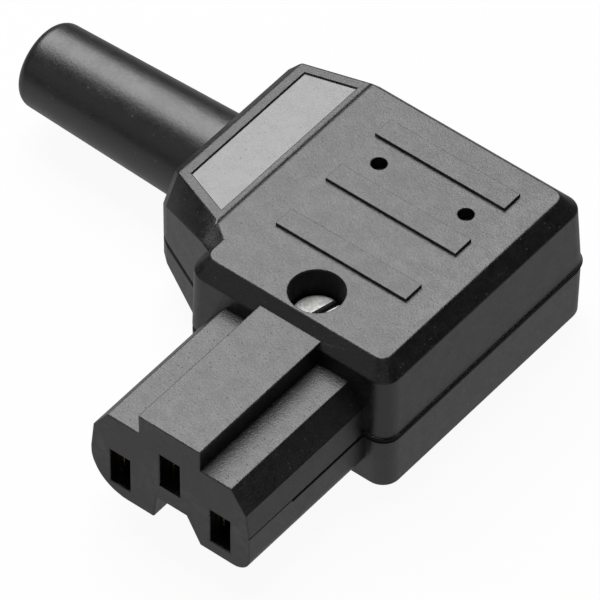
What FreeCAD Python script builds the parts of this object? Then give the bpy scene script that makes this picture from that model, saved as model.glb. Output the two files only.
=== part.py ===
import FreeCAD, Part
import math
import os
import re

import Sketcher

# Right-angle rewirable appliance connector for hot conditions, in millimetres.
# X runs along the cord (the cord leaves towards -X), the nose points to -Y and +Z is up.
# The origin is on the nose's front face, midway between the line and neutral slots.

# Driving dimensions: each one is written once and becomes a named cell of the sheet
SIZES = {
    # housing block
    "body_width": 28.5,
    "body_depth": 35.9,
    "body_height": 18.7,
    "base_drop": 6.6,
    "parting_height": 8.1,
    "wall": 2.0,
    "corner_radius": 2.2,
    "top_corner_radius": 1.3,
    "upper_draft": 0.37,
    "lower_draft": 0.15,
    "chamfer_width": 1.7,
    "chamfer_drop": 2.0,
    "foot_chamfer": 0.6,
    "lip_reach": 0.2,
    "lip_height": 0.4,
    "groove_depth": 0.5,
    "groove_height": 0.35,
    "cord_side_shift": 0.6,
    # nose
    "nose_length": 19.8,
    "nose_width": 22.2,
    "nose_side_width": 21.4,
    "nose_drop": 4.2,
    "nose_cord_side_radius": 5.0,
    "nose_far_side_radius": 2.3,
    "nose_side_height": 5.0,
    "shoulder_height": 8.0,
    "shoulder_width": 17.3,
    "ridge_height": 10.8,
    "ridge_width": 8.6,
    "nose_groove_start": 7.5,
    "nose_groove_depth": 0.3,
    "nose_groove_height": 0.25,
    "notch_depth": 3.4,
    "notch_top_cord_side": 1.9,
    "notch_top_far_side": 2.3,
    "notch_mouth_cord_side": 2.3,
    "notch_mouth_far_side": 4.2,
    "face_wall": 1.8,
    # contact slots and the chambers behind them
    "contact_spacing": 14.0,
    "earth_offset": 4.0,
    "slot_width": 2.8,
    "slot_height": 5.0,
    "chamber_clearance": 0.1,
    "chamber_drop": 2.9,
    "chamber_bevel": 1.4,
    # neck that narrows from the block to the cord guard
    "crease_reach": 0.75,
    "crease_groove_width": 0.4,
    "crease_groove_depth": 0.15,
    "neck_reach": 10.55,
    "neck_end_chamfer": 1.2,
    "neck_top_fall": 0.9,
    "neck_end_fall": 1.1,
    "neck_bottom_rise": 0.4,
    "neck_end_rise": 0.5,
    "neck_end_inset": 0.9,
    "near_root_setback": 4.2,
    "near_root_return": 1.28,
    "near_taper": 4.1,
    "near_band_root": 2.7,
    "near_band_root_drop": 1.3,
    "near_band_tip": 2.2,
    "near_band_tip_drop": 3.6,
    "far_taper": 1.9,
    "far_band_tip": 1.9,
    "far_band_tip_drop": 2.6,
    "keel_root": 2.6,
    "keel_tip": 4.4,
    "neck_end_wall": 2.6,
    "neck_room_width": 20.2,
    "neck_room_rise": 6.0,
    "neck_room_drop": 4.5,
    # marking panel, grip ribs and the two blind holes of the top face
    "panel_depth": 0.22,
    "panel_margin": 1.3,
    "panel_crease_margin": 0.9,
    "detail_offset": 0.6,
    "rib_length": 18.2,
    "rib_width": 2.8,
    "rib_pitch": 8.7,
    "rib_setback": 11.8,
    "rib_height": 0.4,
    "blind_hole_diameter": 1.8,
    "blind_hole_spacing": 12.2,
    "blind_hole_setback": 24.8,
    "blind_hole_depth": 1.6,
    # housing screw, its washer and its nut
    "screw_setback": 5.6,
    "counterbore_diameter": 6.4,
    "head_sink": 3.6,
    "screw_head_diameter": 5.8,
    "screw_head_height": 2.0,
    "screw_diameter": 3.0,
    "screw_hole_clearance": 0.2,
    "screw_slot_width": 0.9,
    "screw_slot_depth": 0.9,
    "washer_diameter": 5.6,
    "washer_thickness": 0.6,
    "washer_split": 0.5,
    "nut_width": 5.5,
    "nut_thickness": 2.4,
    "nut_cover": 0.6,
    "nut_pocket_clearance": 0.05,
    "thread_clearance": 0.05,
    "screw_tip_margin": 0.3,
    # folded contacts and their springs
    "contact_gauge": 0.6,
    "pin_thickness": 2.0,
    "bridge_rise": 2.05,
    "blade_drop": 1.7,
    "sleeve_length": 13.0,
    "sleeve_setback": 0.2,
    "spring_gauge": 0.3,
    "spring_length": 6.0,
    "spring_setback": 3.0,
    "spring_drop": 1.2,
    # terminals
    "room_setback": 9.8,
    "terminal_size": 7.0,
    "terminal_setback": 18.0,
    "earth_terminal_setback": 27.0,
    "tail_clearance": 0.3,
    "collar_diameter": 4.8,
    "collar_length": 1.6,
    "collar_clearance": 0.1,
    "plate_size": 6.4,
    "plate_thickness": 0.9,
    "terminal_screw_diameter": 3.0,
    "terminal_screw_length": 6.0,
    "terminal_head_diameter": 5.2,
    "terminal_head_height": 1.8,
    "terminal_slot_width": 0.8,
    "terminal_slot_depth": 0.9,
    "post_hole_margin": 0.5,
    # cord guard
    "guard_setback": 21.4,
    "guard_root_diameter": 12.2,
    "guard_tip_diameter": 10.6,
    "guard_reach": 27.6,
    "guard_bore": 7.6,
    "guard_tip_radius": 1.5,
    "guard_clearance": 0.05,
    "flange_diameter": 13.7,
    "flange_thickness": 1.6,
    # cord clamp and its two screws
    "clamp_setback": 2.5,
    "clamp_width": 5.0,
    "clamp_gauge": 1.2,
    "clamp_arch": 7.8,
    "clamp_screw_spacing": 15.2,
    "clamp_ear_margin": 2.2,
    "clamp_screw_diameter": 2.5,
    "clamp_screw_length": 5.0,
    "clamp_head_diameter": 4.4,
    "clamp_head_height": 1.6,
    "clamp_post_depth": 5.0,
}

# Places and lengths worked out from the driving dimensions, as formulas
PLACES = {
    "half_width": "body_width / 2",
    "front_y": "nose_length",
    "back_y": "nose_length + body_depth",
    "base_z": "0 - base_drop",
    "top_z": "body_height - base_drop",
    "parting_z": "parting_height - base_drop",
    "contact_x": "contact_spacing / 2",
    "sleeve_front": "face_wall + sleeve_setback",
    "sleeve_back": "sleeve_front + sleeve_length",
    "sleeve_half": "pin_thickness / 2 + contact_gauge",
    "bridge_top": "bridge_rise + contact_gauge",
    "spring_half": "sleeve_half + spring_gauge",
    "chamber_half": "spring_half + chamber_clearance",
    "chamber_rise": "bridge_top + spring_gauge + chamber_clearance",
    "room_front": "front_y + room_setback",
    "room_half": "half_width - wall",
    "room_back": "back_y - wall",
    "room_top": "top_z - wall",
    "room_floor": "base_z + wall",
    "terminal_y": "front_y + terminal_setback",
    "earth_terminal_y": "front_y + earth_terminal_setback",
    "tail_top": "bridge_top",
    "lane_inner": "contact_x - sleeve_half - 2 * tail_clearance",
    "lane_outer": "lane_inner + 2 * sleeve_half",
    "crank_front": "sleeve_back",
    "crank_back": "sleeve_back + 2 * sleeve_half",
    "return_front": "room_front + tail_clearance",
    "return_back": "return_front + 2 * sleeve_half",
    "screw_y": "front_y + screw_setback",
    "head_z": "top_z - head_sink",
    "washer_z": "head_z - screw_head_height - washer_thickness",
    "nut_top": "base_z + nut_cover + nut_thickness",
    "root_x": "0 - half_width + wall + upper_draft",
    "crease_x": "0 - half_width - crease_reach",
    "neck_end": "0 - half_width - neck_reach",
    "neck_edge": "neck_end + neck_end_chamfer",
    "neck_room_end": "neck_end + neck_end_wall",
    "near_root": "front_y + near_root_setback",
    "near_tip": "near_root + near_taper",
    "far_tip": "back_y - far_taper",
    "guard_y": "front_y + guard_setback",
    "clamp_x": "0 - half_width - clamp_setback",
    "clamp_screw_y": "clamp_screw_spacing / 2",
    "clamp_ear_end": "clamp_screw_y + clamp_ear_margin",
}

CONTACTS = {
    "line": ("0 - contact_x", "0"),
    "neutral": ("contact_x", "0"),
    "earth": ("0", "earth_offset"),
}

XY = "XY_Plane"
XZ = "XZ_Plane"
YZ = "YZ_Plane"
SAME_PLACE = 0.001

doc = FreeCAD.newDocument("PowerConnector")
sheet = doc.addObject("Spreadsheet::Sheet", "Sizes")
for row, (alias, number) in enumerate(SIZES.items(), start=1):
    sheet.set(f"A{row}", alias)
    sheet.set(f"B{row}", str(number))
    sheet.setAlias(f"B{row}", alias)
doc.recompute()


# Formulas in size names
def expand(formula):
    """Write a formula in size and place names as an expression on the sheet."""

    def swap(match):
        word = match.group(0)
        if word in PLACES:
            return "(" + expand(PLACES[word]) + ")"
        return "Sizes." + word

    return re.sub(r"[a-z][a-z_]*", swap, formula)


def value(formula):
    """The present value of a formula, in millimetres."""
    return float(sheet.evalExpression(expand(formula)))


def minus(formula):
    """The same formula with its sign turned."""
    return f"0 - ({formula})"


# Sketch and feature helpers
def new_body(label, place=("0", "0", "0")):
    """A body with its own label, placed by three formulas."""
    body = doc.addObject("PartDesign::Body", label)
    body.Label = label
    for axis, formula in zip("xyz", place):
        body.setExpression(f"Placement.Base.{axis}", expand(formula))
    return body


def new_sketch(body, name, plane, start):
    """A sketch parallel to one of the body's origin planes, at a height along the plane's axis."""
    sketch = body.newObject("Sketcher::SketchObject", name)
    support = [feature for feature in body.Origin.OriginFeatures if feature.Role == plane][0]
    sketch.AttachmentSupport = [(support, "")]
    sketch.MapMode = "FlatFace"
    offset = minus(start) if plane == XZ else start
    sketch.setExpression("AttachmentOffset.Base.z", expand(offset))
    return sketch


def pin_point(sketch, element, point, across, along):
    """Hold a sketch point at two distances from the sketch's origin."""
    for kind, formula in (("DistanceX", across), ("DistanceY", along)):
        held = Sketcher.Constraint(kind, -1, 1, element, point, value(formula))
        index = sketch.addConstraint(held)
        sketch.setExpression(f"Constraints[{index}]", expand(formula))


def draw_outline(sketch, corners):
    """A closed outline of straight lines through corners given as formulas."""
    points = [FreeCAD.Vector(value(across), value(along), 0) for across, along in corners]
    first = sketch.GeometryCount
    ends = points[1:] + points[:1]
    sketch.addGeometry([Part.LineSegment(start, end) for start, end in zip(points, ends)], False)
    for index, (across, along) in enumerate(corners):
        before = first + (index - 1) % len(corners)
        sketch.addConstraint(Sketcher.Constraint("Coincident", before, 2, first + index, 1))
        pin_point(sketch, first + index, 1, across, along)


def draw_rounded_box(sketch, sides):
    """A rectangle with round corners, except for the sharp one between its left and high sides."""
    left, right, low, high, radius = sides
    stops = [
        (f"{left} + {radius}", low),
        (f"{right} - {radius}", low),
        (right, f"{low} + {radius}"),
        (right, f"{high} - {radius}"),
        (f"{right} - {radius}", high),
        (left, high),
        (left, f"{low} + {radius}"),
    ]
    points = [FreeCAD.Vector(value(across), value(along), 0) for across, along in stops]
    first = sketch.GeometryCount
    corners = {
        1: (points[1].x, points[2].y, -90),
        3: (points[4].x, points[3].y, 0),
        6: (points[0].x, points[6].y, 180),
    }
    for index, point in enumerate(points):
        if index in corners:
            middle_x, middle_y, turn = corners[index]
            middle = FreeCAD.Vector(middle_x, middle_y, 0)
            ring = Part.Circle(middle, FreeCAD.Vector(0, 0, 1), value(radius))
            start = math.radians(turn)
            sketch.addGeometry(Part.ArcOfCircle(ring, start, start + math.pi / 2), False)
        else:
            end = points[(index + 1) % len(points)]
            sketch.addGeometry(Part.LineSegment(point, end), False)
    for index, (across, along) in enumerate(stops):
        before = first + (index - 1) % len(stops)
        sketch.addConstraint(Sketcher.Constraint("Coincident", before, 2, first + index, 1))
        pin_point(sketch, first + index, 1, across, along)
    for index in corners:
        held = sketch.addConstraint(Sketcher.Constraint("Radius", first + index, value(radius)))
        sketch.setExpression(f"Constraints[{held}]", expand(radius))


def draw_circle(sketch, across, along, diameter):
    """A circle with its centre and diameter given as formulas."""
    centre = FreeCAD.Vector(value(across), value(along), 0)
    ring = Part.Circle(centre, FreeCAD.Vector(0, 0, 1), value(diameter) / 2)
    element = sketch.addGeometry(ring, False)
    pin_point(sketch, element, 3, across, along)
    index = sketch.addConstraint(Sketcher.Constraint("Diameter", element, value(diameter)))
    sketch.setExpression(f"Constraints[{index}]", expand(diameter))


def box_outline(left, right, low, high):
    """The four corners of a rectangle."""
    return [(left, low), (right, low), (right, high), (left, high)]


def extrude(body, kind, name, plane, start, end, outlines=(), circles=(), rounded=()):
    """Carry a sketch from start to end along its plane's axis, as a Pad or a Pocket."""
    sketch = new_sketch(body, name + "Sketch", plane, start)
    for corners in outlines:
        draw_outline(sketch, corners)
    for sides in rounded:
        draw_rounded_box(sketch, sides)
    for circle in circles:
        draw_circle(sketch, *circle)
    feature = body.newObject("PartDesign::" + kind, name)
    feature.Profile = sketch
    feature.setExpression("Length", expand(f"{end} - ({start})"))
    normal_runs_forward = plane != XZ
    feature.Reversed = normal_runs_forward == (kind == "Pocket")
    return feature


def pad(body, name, plane, start, end, outlines=(), circles=()):
    """Add material between two heights."""
    return extrude(body, "Pad", name, plane, start, end, outlines, circles)


def pocket(body, name, plane, start, end, outlines=(), circles=(), rounded=()):
    """Remove material between two heights, and stop if nothing was removed."""
    doc.recompute()
    before = body.Shape.Volume
    feature = extrude(body, "Pocket", name, plane, start, end, outlines, circles, rounded)
    doc.recompute()
    if body.Shape.Volume >= before:
        raise RuntimeError(f"{body.Label}: {name} removed nothing")
    return feature


def ruled_loft(body, kind, name, plane, sections, draw=draw_outline):
    """Join outlines at several places along the plane's axis with straight faces."""
    sketches = []
    for index, (start, outline) in enumerate(sections):
        sketch = new_sketch(body, f"{name}Section{index}", plane, start)
        draw(sketch, outline)
        sketches.append(sketch)
    feature = body.newObject("PartDesign::" + kind, name)
    feature.Profile = sketches[0]
    feature.Sections = sketches[1:]
    feature.Ruled = True
    return feature


def round_edges(body, name, radius, chosen):
    """Fillet the edges that a test picks from the body's present shape."""
    doc.recompute()
    base = body.Tip
    names = [f"Edge{index}" for index, edge in enumerate(base.Shape.Edges, start=1) if chosen(edge)]
    feature = body.newObject("PartDesign::Fillet", name)
    feature.Base = (base, names)
    feature.setExpression("Radius", expand(radius))
    return feature


def lies_along(edge, axis, place):
    """True for a straight edge along an axis through a place given by its other two coordinates."""
    other = [index for index in range(3) if index != axis]
    ends = [vertex.Point for vertex in edge.Vertexes]
    gaps = [abs(end[index] - spot) for end in ends for index, spot in zip(other, place)]
    return len(ends) == 2 and max(gaps) < SAME_PLACE


# Features that the two housing halves share
def add_block(body, levels):
    """The block through levels of (height, cord-side inset, inset of the other sides, corner radius)."""
    sections = []
    for height, cord_inset, inset, radius in levels:
        left = f"0 - half_width + {cord_inset}"
        sides = (left, f"half_width - {inset}", f"front_y + {inset}", f"back_y - {inset}", radius)
        sections.append((height, sides))
    ruled_loft(body, "AdditiveLoft", "Block", XY, sections, draw_rounded_box)


def cut_guard_seat(body):
    """The round hole in the neck's end wall and the groove that holds the guard's flange."""
    hole = ("guard_y", "parting_z", "guard_root_diameter + 2 * guard_clearance")
    pocket(body, "GuardHole", YZ, "neck_end", "neck_room_end", circles=[hole])
    groove = ("guard_y", "parting_z", "flange_diameter + 2 * guard_clearance")
    groove_end = "neck_room_end + flange_thickness + guard_clearance"
    pocket(body, "FlangeGroove", YZ, "neck_room_end", groove_end, circles=[groove])


def cut_rooms(body, start, end, neck_start, neck_end):
    """The wiring room behind the nose and the clamp room in the neck."""
    room = box_outline("0 - room_half", "room_half", "room_front", "room_back")
    pocket(body, "WiringRoom", XY, start, end, [room])
    neck_room = box_outline(
        "neck_room_end",
        "wall - room_half",
        "guard_y - neck_room_width / 2",
        "guard_y + neck_room_width / 2",
    )
    pocket(body, "NeckRoom", XY, neck_start, neck_end, [neck_room])


def cut_side_chambers(body, low, high, corners_of):
    """The line and neutral slots in the front face and the contact chambers behind them."""
    slots = []
    chambers = []
    for side in ("-1", "1"):
        middle = f"{side} * contact_x"
        slots.append(box_outline(f"{middle} - slot_width / 2", f"{middle} + slot_width / 2", low, high))
        chambers.append(corners_of(middle, side))
    pocket(body, "SideSlots", XZ, "0", "face_wall", slots)
    pocket(body, "SideChambers", XZ, "face_wall", "room_front", chambers)


def neck_sections(upper):
    """Outlines of one half of the neck at its root, crease, end edge and end face."""
    rows = [
        ("root_x", "near_root - near_root_return", "near_band_root - wall / 2", "back_y", "0", "0"),
        ("crease_x", "near_root", "near_band_root", "back_y", "0", "0"),
        ("neck_edge", "near_tip", "near_band_tip", "far_tip", "neck_top_fall", "neck_bottom_rise"),
        (
            "neck_end",
            "near_tip + neck_end_inset",
            "near_band_tip",
            "far_tip - neck_end_inset",
            "neck_top_fall + neck_end_fall",
            "neck_bottom_rise + neck_end_rise",
        ),
    ]
    sections = []
    for index, (start, near, near_band, far, fall, rise) in enumerate(rows):
        at_root = index < 2
        lean = "0"
        if at_root:
            lean = "upper_draft" if upper else "lower_draft"
        if upper:
            edge_z = f"top_z - ({fall})"
            near_low = f"{edge_z} - " + ("near_band_root_drop" if at_root else "near_band_tip_drop")
            far_band = "chamfer_width" if at_root else "far_band_tip"
            far_low = f"{edge_z} - " + ("chamfer_drop" if at_root else "far_band_tip_drop")
        else:
            edge_z = f"base_z + ({rise})"
            near_band = "keel_root" if at_root else "keel_tip"
            near_low = f"{edge_z} + {near_band}"
            far_band = "foot_chamfer" if at_root else "keel_tip"
            far_low = f"{edge_z} + {far_band}"
        corners = [
            (near, "parting_z"),
            (far, "parting_z"),
            (f"{far} - {lean}", far_low),
            (f"{far} - {lean} - {far_band}", edge_z),
            (f"{near} + {near_band}", edge_z),
            (near, near_low),
        ]
        sections.append((start, corners))
    return sections


# Upper housing
def make_upper_housing():
    """The half that carries the screw, the ridge, the ribs and the marking panel."""
    body = new_body("upper_housing")
    top_inset = "(upper_draft + chamfer_width)"
    levels = [
        ("parting_z", "0", "0", "corner_radius"),
        ("top_z - chamfer_drop", "0", "upper_draft", "corner_radius"),
        ("top_z", f"{top_inset} - cord_side_shift", top_inset, "top_corner_radius"),
    ]
    add_block(body, levels)
    add_parting_lip(body)
    ruled_loft(body, "AdditiveLoft", "Neck", YZ, neck_sections(upper=True))
    nose = [
        ("0 - nose_width / 2", "parting_z"),
        ("nose_width / 2", "parting_z"),
        ("nose_side_width / 2", "nose_side_height"),
        ("shoulder_width / 2", "shoulder_height"),
        ("ridge_width / 2", "shoulder_height"),
        ("ridge_width / 2", "ridge_height"),
        ("0 - ridge_width / 2", "ridge_height"),
        ("0 - ridge_width / 2", "shoulder_height"),
        ("0 - shoulder_width / 2", "shoulder_height"),
        ("0 - nose_side_width / 2", "nose_side_height"),
    ]
    pad(body, "Nose", XZ, "0", "front_y + chamfer_width", [nose])
    cut_marking_panel(body)
    add_top_details(body)
    cut_rooms(body, "parting_z", "room_top", "parting_z", "parting_z + neck_room_rise")
    cut_guard_seat(body)

    def chamber_corners(middle, side):
        left = f"{middle} - chamber_half"
        return box_outline(left, f"{middle} + chamber_half", "parting_z", "chamber_rise")

    cut_side_chambers(body, "parting_z", "slot_height / 2", chamber_corners)
    cut_earth_way(body)
    return body


def add_parting_lip(body):
    """The thin lip along the block's lower edge, from the nose round to the neck, over the other half."""
    right = "half_width + lip_reach"
    front = "front_y - lip_reach"
    back = "back_y + lip_reach"
    outline = [
        ("0", front),
        (right, front),
        (right, back),
        ("0 - half_width", back),
        ("0 - half_width", "back_y - wall"),
        ("0", "back_y - wall"),
    ]
    pad(body, "PartingLip", XY, "parting_z", "parting_z + lip_height", [outline])
    places = [(value(right), value(along)) for along in (front, back)]

    def is_lip_corner(edge):
        return any(lies_along(edge, 2, place) for place in places)

    round_edges(body, "LipCorners", "corner_radius + lip_reach", is_lip_corner)


def cut_marking_panel(body):
    """The shallow sloping recess on top of the neck, and the fine groove where the neck meets the block."""
    slope = "neck_top_fall / (crease_x - neck_edge)"
    near_slope = "(near_taper + near_band_tip - near_band_root) / (crease_x - neck_edge)"
    far_band = "(upper_draft + chamfer_width)"
    far_slope = f"(far_taper + far_band_tip - {far_band}) / (crease_x - neck_edge)"
    sections = []
    for start in ("crease_x - panel_crease_margin", "neck_edge + panel_margin"):
        down = f"({slope}) * (crease_x - ({start}))"
        near = f"near_root + near_band_root + panel_margin + ({near_slope}) * (crease_x - ({start}))"
        far = f"back_y - {far_band} - panel_margin - ({far_slope}) * (crease_x - ({start}))"
        sections.append((start, box_outline(near, far, f"top_z - {down} - panel_depth", "top_z + wall")))
    ruled_loft(body, "SubtractiveLoft", "MarkingPanel", YZ, sections)
    half = "crease_groove_width / 2"
    groove = [
        ("crease_x", "top_z - crease_groove_depth"),
        (f"crease_x + {half}", "top_z"),
        (f"crease_x + {half}", "top_z + wall"),
        (f"crease_x - {half}", "top_z + wall"),
        (f"crease_x - {half}", "top_z"),
    ]
    pocket(body, "CreaseGroove", XZ, "front_y", "back_y", [groove])


def add_top_details(body):
    """The grip ribs, the blind holes and the stepped hole of the housing screw."""
    ribs = []
    for step in ("0", "1", "2"):
        middle = f"front_y + rib_setback + {step} * rib_pitch"
        left = "0 - detail_offset - rib_length / 2"
        low = f"{middle} - rib_width / 2"
        ribs.append(box_outline(left, f"{left} + rib_length", low, f"{low} + rib_width"))
    pad(body, "GripRibs", XY, "top_z", "top_z + rib_height", ribs)
    holes = []
    for side in ("-1", "1"):
        across = f"{side} * blind_hole_spacing / 2 - detail_offset"
        holes.append((across, "front_y + blind_hole_setback", "blind_hole_diameter"))
    pocket(body, "BlindHoles", XY, "top_z - blind_hole_depth", "top_z", circles=holes)
    head_hole = ("0", "screw_y", "counterbore_diameter")
    pocket(body, "Counterbore", XY, "washer_z", "top_z", circles=[head_hole])
    shank_hole = ("0", "screw_y", "screw_diameter + 2 * screw_hole_clearance")
    pocket(body, "ShankHole", XY, "parting_z", "washer_z", circles=[shank_hole])


def cut_earth_way(body):
    """The earth slot, its chamber and the cranked lane of the earth tail, open downwards."""
    slot_low = "earth_offset - slot_height / 2"
    slot = box_outline("0 - slot_width / 2", "slot_width / 2", slot_low, "earth_offset + slot_height / 2")
    pocket(body, "EarthSlot", XZ, "0", "face_wall", [slot])
    chamber_top = "earth_offset + chamber_rise"
    chamber = box_outline("0 - chamber_half", "chamber_half", "parting_z", chamber_top)
    pocket(body, "EarthChamber", XZ, "face_wall", "crank_front", [chamber])
    lane = [
        ("0 - sleeve_half - tail_clearance", "crank_front - tail_clearance"),
        ("lane_outer + tail_clearance", "crank_front - tail_clearance"),
        ("lane_outer + tail_clearance", "room_front"),
        ("lane_inner - tail_clearance", "room_front"),
        ("lane_inner - tail_clearance", "crank_back + tail_clearance"),
        ("0 - sleeve_half - tail_clearance", "crank_back + tail_clearance"),
    ]
    pocket(body, "EarthLane", XY, "parting_z", "earth_offset + tail_top + tail_clearance", [lane])


# Lower housing
def make_lower_housing():
    """The half that carries the contacts on posts, the nut, the clamp posts and the notch."""
    body = new_body("lower_housing")
    levels = [
        ("base_z", "foot_chamfer", "(lower_draft + foot_chamfer)", "corner_radius"),
        ("base_z + foot_chamfer", "0", "lower_draft", "corner_radius"),
        ("parting_z", "0", "0", "corner_radius"),
    ]
    add_block(body, levels)
    cut_parting_groove(body)
    ruled_loft(body, "AdditiveLoft", "Neck", YZ, neck_sections(upper=False))
    nose_bottom = "0 - nose_drop"
    nose = box_outline("0 - nose_width / 2", "nose_width / 2", nose_bottom, "parting_z")
    pad(body, "Nose", XZ, "0", "front_y + wall", [nose])
    side = value("nose_width / 2")
    low = value(nose_bottom)
    cord_side = (-side, low)
    far_side = (side, low)
    round_edges(body, "NoseCordSide", "nose_cord_side_radius", lambda edge: lies_along(edge, 1, cord_side))
    round_edges(body, "NoseFarSide", "nose_far_side_radius", lambda edge: lies_along(edge, 1, far_side))
    notch_top = f"{nose_bottom} + notch_depth"
    notch = [
        ("0 - notch_top_cord_side", notch_top),
        ("notch_top_far_side", notch_top),
        ("notch_mouth_far_side", nose_bottom),
        ("0 - notch_mouth_cord_side", nose_bottom),
    ]
    pocket(body, "Notch", XZ, "0", "front_y", [notch])
    grooves = []
    for wall, inwards in (("0 - nose_width / 2", "1"), ("nose_width / 2", "-1")):
        floor = f"{wall} + ({inwards}) * nose_groove_depth"
        beyond = f"{wall} - ({inwards}) * wall"
        grooves.append(box_outline(floor, beyond, "nose_groove_start", "front_y"))
    pocket(body, "NoseGrooves", XY, "parting_z - nose_groove_height", "parting_z", grooves)
    cut_rooms(body, "room_floor", "parting_z", "parting_z - neck_room_drop", "parting_z")
    cut_guard_seat(body)

    def chamber_corners(middle, side):
        floor = "0 - chamber_drop"
        outer = f"{middle} + {side} * chamber_half"
        inner = f"{middle} - {side} * chamber_half"
        return [
            (inner, "parting_z"),
            (outer, "parting_z"),
            (outer, f"{floor} + chamber_bevel"),
            (f"{outer} - {side} * chamber_bevel", floor),
            (inner, floor),
        ]

    cut_side_chambers(body, "0 - slot_height / 2", "parting_z", chamber_corners)
    add_posts(body)
    cut_nut_seat(body)
    return body


def cut_parting_groove(body):
    """The shadow groove round the block under the other half's lip."""
    outer = box_outline("0 - half_width - wall", "half_width + wall", "front_y - wall", "back_y + wall")
    inner = (
        "groove_depth - half_width",
        "half_width - groove_depth",
        "front_y + groove_depth",
        "back_y - groove_depth",
        "(corner_radius - groove_depth)",
    )
    low = "parting_z - groove_height"
    pocket(body, "PartingGroove", XY, low, "parting_z", [outer], rounded=[inner])


def add_posts(body):
    """Terminal posts in the wiring room and clamp posts in the neck, each with its blind hole."""
    hole_floor = "bridge_rise + contact_gauge + plate_thickness - terminal_screw_length - post_hole_margin"
    for name, (middle_x, middle_z) in CONTACTS.items():
        middle_y = "earth_terminal_y" if name == "earth" else "terminal_y"
        seat = f"{middle_z} + bridge_rise"
        half = "terminal_size / 2"
        post = box_outline(
            f"{middle_x} - {half}", f"{middle_x} + {half}", f"{middle_y} - {half}", f"{middle_y} + {half}"
        )
        pad(body, name.title() + "Post", XY, "room_floor - wall / 2", seat, [post])
        hole = (middle_x, middle_y, "collar_diameter + 2 * collar_clearance")
        pocket(body, name.title() + "PostHole", XY, f"{middle_z} + {hole_floor}", seat, circles=[hole])
    posts = []
    holes = []
    for side in ("-1", "1"):
        middle_y = f"guard_y + {side} * clamp_screw_y"
        low = f"{middle_y} - clamp_post_depth / 2"
        high = f"{middle_y} + clamp_post_depth / 2"
        posts.append(box_outline("clamp_x - clamp_width / 2", "clamp_x + clamp_width / 2", low, high))
        holes.append(("clamp_x", middle_y, "clamp_screw_diameter + 2 * thread_clearance"))
    post_floor = "parting_z - neck_room_drop - wall / 4"
    pad(body, "ClampPosts", XY, post_floor, "parting_z", posts)
    hole_floor = "parting_z + clamp_gauge - clamp_screw_length - post_hole_margin / 2"
    pocket(body, "ClampPostHoles", XY, hole_floor, "parting_z", circles=holes)


def cut_nut_seat(body):
    """The square pocket under the base for the nut, and the screw's way down to it."""
    half = "nut_width / 2 + nut_pocket_clearance"
    seat = box_outline(minus(half), half, f"screw_y - ({half})", f"screw_y + {half}")
    pocket(body, "NutPocket", XY, "base_z", "nut_top", [seat])
    shank_hole = ("0", "screw_y", "screw_diameter + 2 * screw_hole_clearance")
    pocket(body, "ShankHole", XY, "nut_top", "parting_z", circles=[shank_hole])


# Cord guard
def make_cord_guard():
    """A tapered soft sleeve with a flange that the two halves trap; its profile is turned about X."""
    body = new_body("cord_guard", ("0", "guard_y", "parting_z"))
    tip_x = "neck_end - guard_reach"
    flange_back = "neck_room_end + flange_thickness"
    profile = [
        (tip_x, "guard_bore / 2"),
        (tip_x, "guard_tip_diameter / 2"),
        ("neck_end", "guard_root_diameter / 2"),
        ("neck_room_end", "guard_root_diameter / 2"),
        ("neck_room_end", "flange_diameter / 2"),
        (flange_back, "flange_diameter / 2"),
        (flange_back, "guard_bore / 2"),
    ]
    sketch = new_sketch(body, "SleeveSketch", XZ, "0")
    draw_outline(sketch, profile)
    sleeve = body.newObject("PartDesign::Revolution", "Sleeve")
    sleeve.Profile = sketch
    sleeve.ReferenceAxis = (sketch, ["H_Axis"])
    sleeve.Angle = 360

    def is_tip_rim(edge):
        box = edge.BoundBox
        at_tip = abs(box.XMin - value(tip_x)) + abs(box.XMax - value(tip_x)) < SAME_PLACE
        return at_tip and box.YLength > value("(guard_bore + guard_tip_diameter) / 2")

    round_edges(body, "TipRim", "guard_tip_radius", is_tip_rim)
    return body


# Screws, washer and nut
def make_screw(label, place, sizes):
    """A slotted screw whose head stands on the place's XY plane and whose shank hangs below it."""
    shank_diameter, shank_length, head_diameter, head_height, slot_width, slot_depth = sizes
    body = new_body(label, place)
    pad(body, "Head", XY, "0", head_height, circles=[("0", "0", head_diameter)])
    pad(body, "Shank", XY, minus(shank_length), "0", circles=[("0", "0", shank_diameter)])
    half = f"{slot_width} / 2"
    slot = box_outline(minus(half), half, minus(head_diameter), head_diameter)
    pocket(body, "Slot", XY, f"{head_height} - {slot_depth}", head_height, [slot])
    return body


def make_housing_fasteners():
    """The screw that closes the housing, the split washer under its head and its square nut."""
    shank_length = "head_z - screw_head_height - base_z - screw_tip_margin"
    sizes = (
        "screw_diameter",
        shank_length,
        "screw_head_diameter",
        "screw_head_height",
        "screw_slot_width",
        "screw_slot_depth",
    )
    screw = make_screw("housing_screw", ("0", "screw_y", "head_z - screw_head_height"), sizes)
    washer = new_body("housing_lock_washer", ("0", "screw_y", "washer_z"))
    bore = "screw_diameter + 2 * thread_clearance"
    rings = [("0", "0", "washer_diameter"), ("0", "0", bore)]
    pad(washer, "Ring", XY, "0", "washer_thickness", circles=rings)
    split = box_outline("0 - washer_split / 2", "washer_split / 2", "0", "washer_diameter")
    pocket(washer, "Split", XY, "0", "washer_thickness", [split])
    nut = new_body("housing_nut", ("0", "screw_y", "nut_top - nut_thickness"))
    half = "nut_width / 2"
    outline = box_outline(minus(half), half, minus(half), half)
    pad(nut, "Square", XY, "0", "nut_thickness", [outline])
    pocket(nut, "Thread", XY, "0", "nut_thickness", circles=[("0", "0", bore)])
    return [screw, washer, nut]


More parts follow.
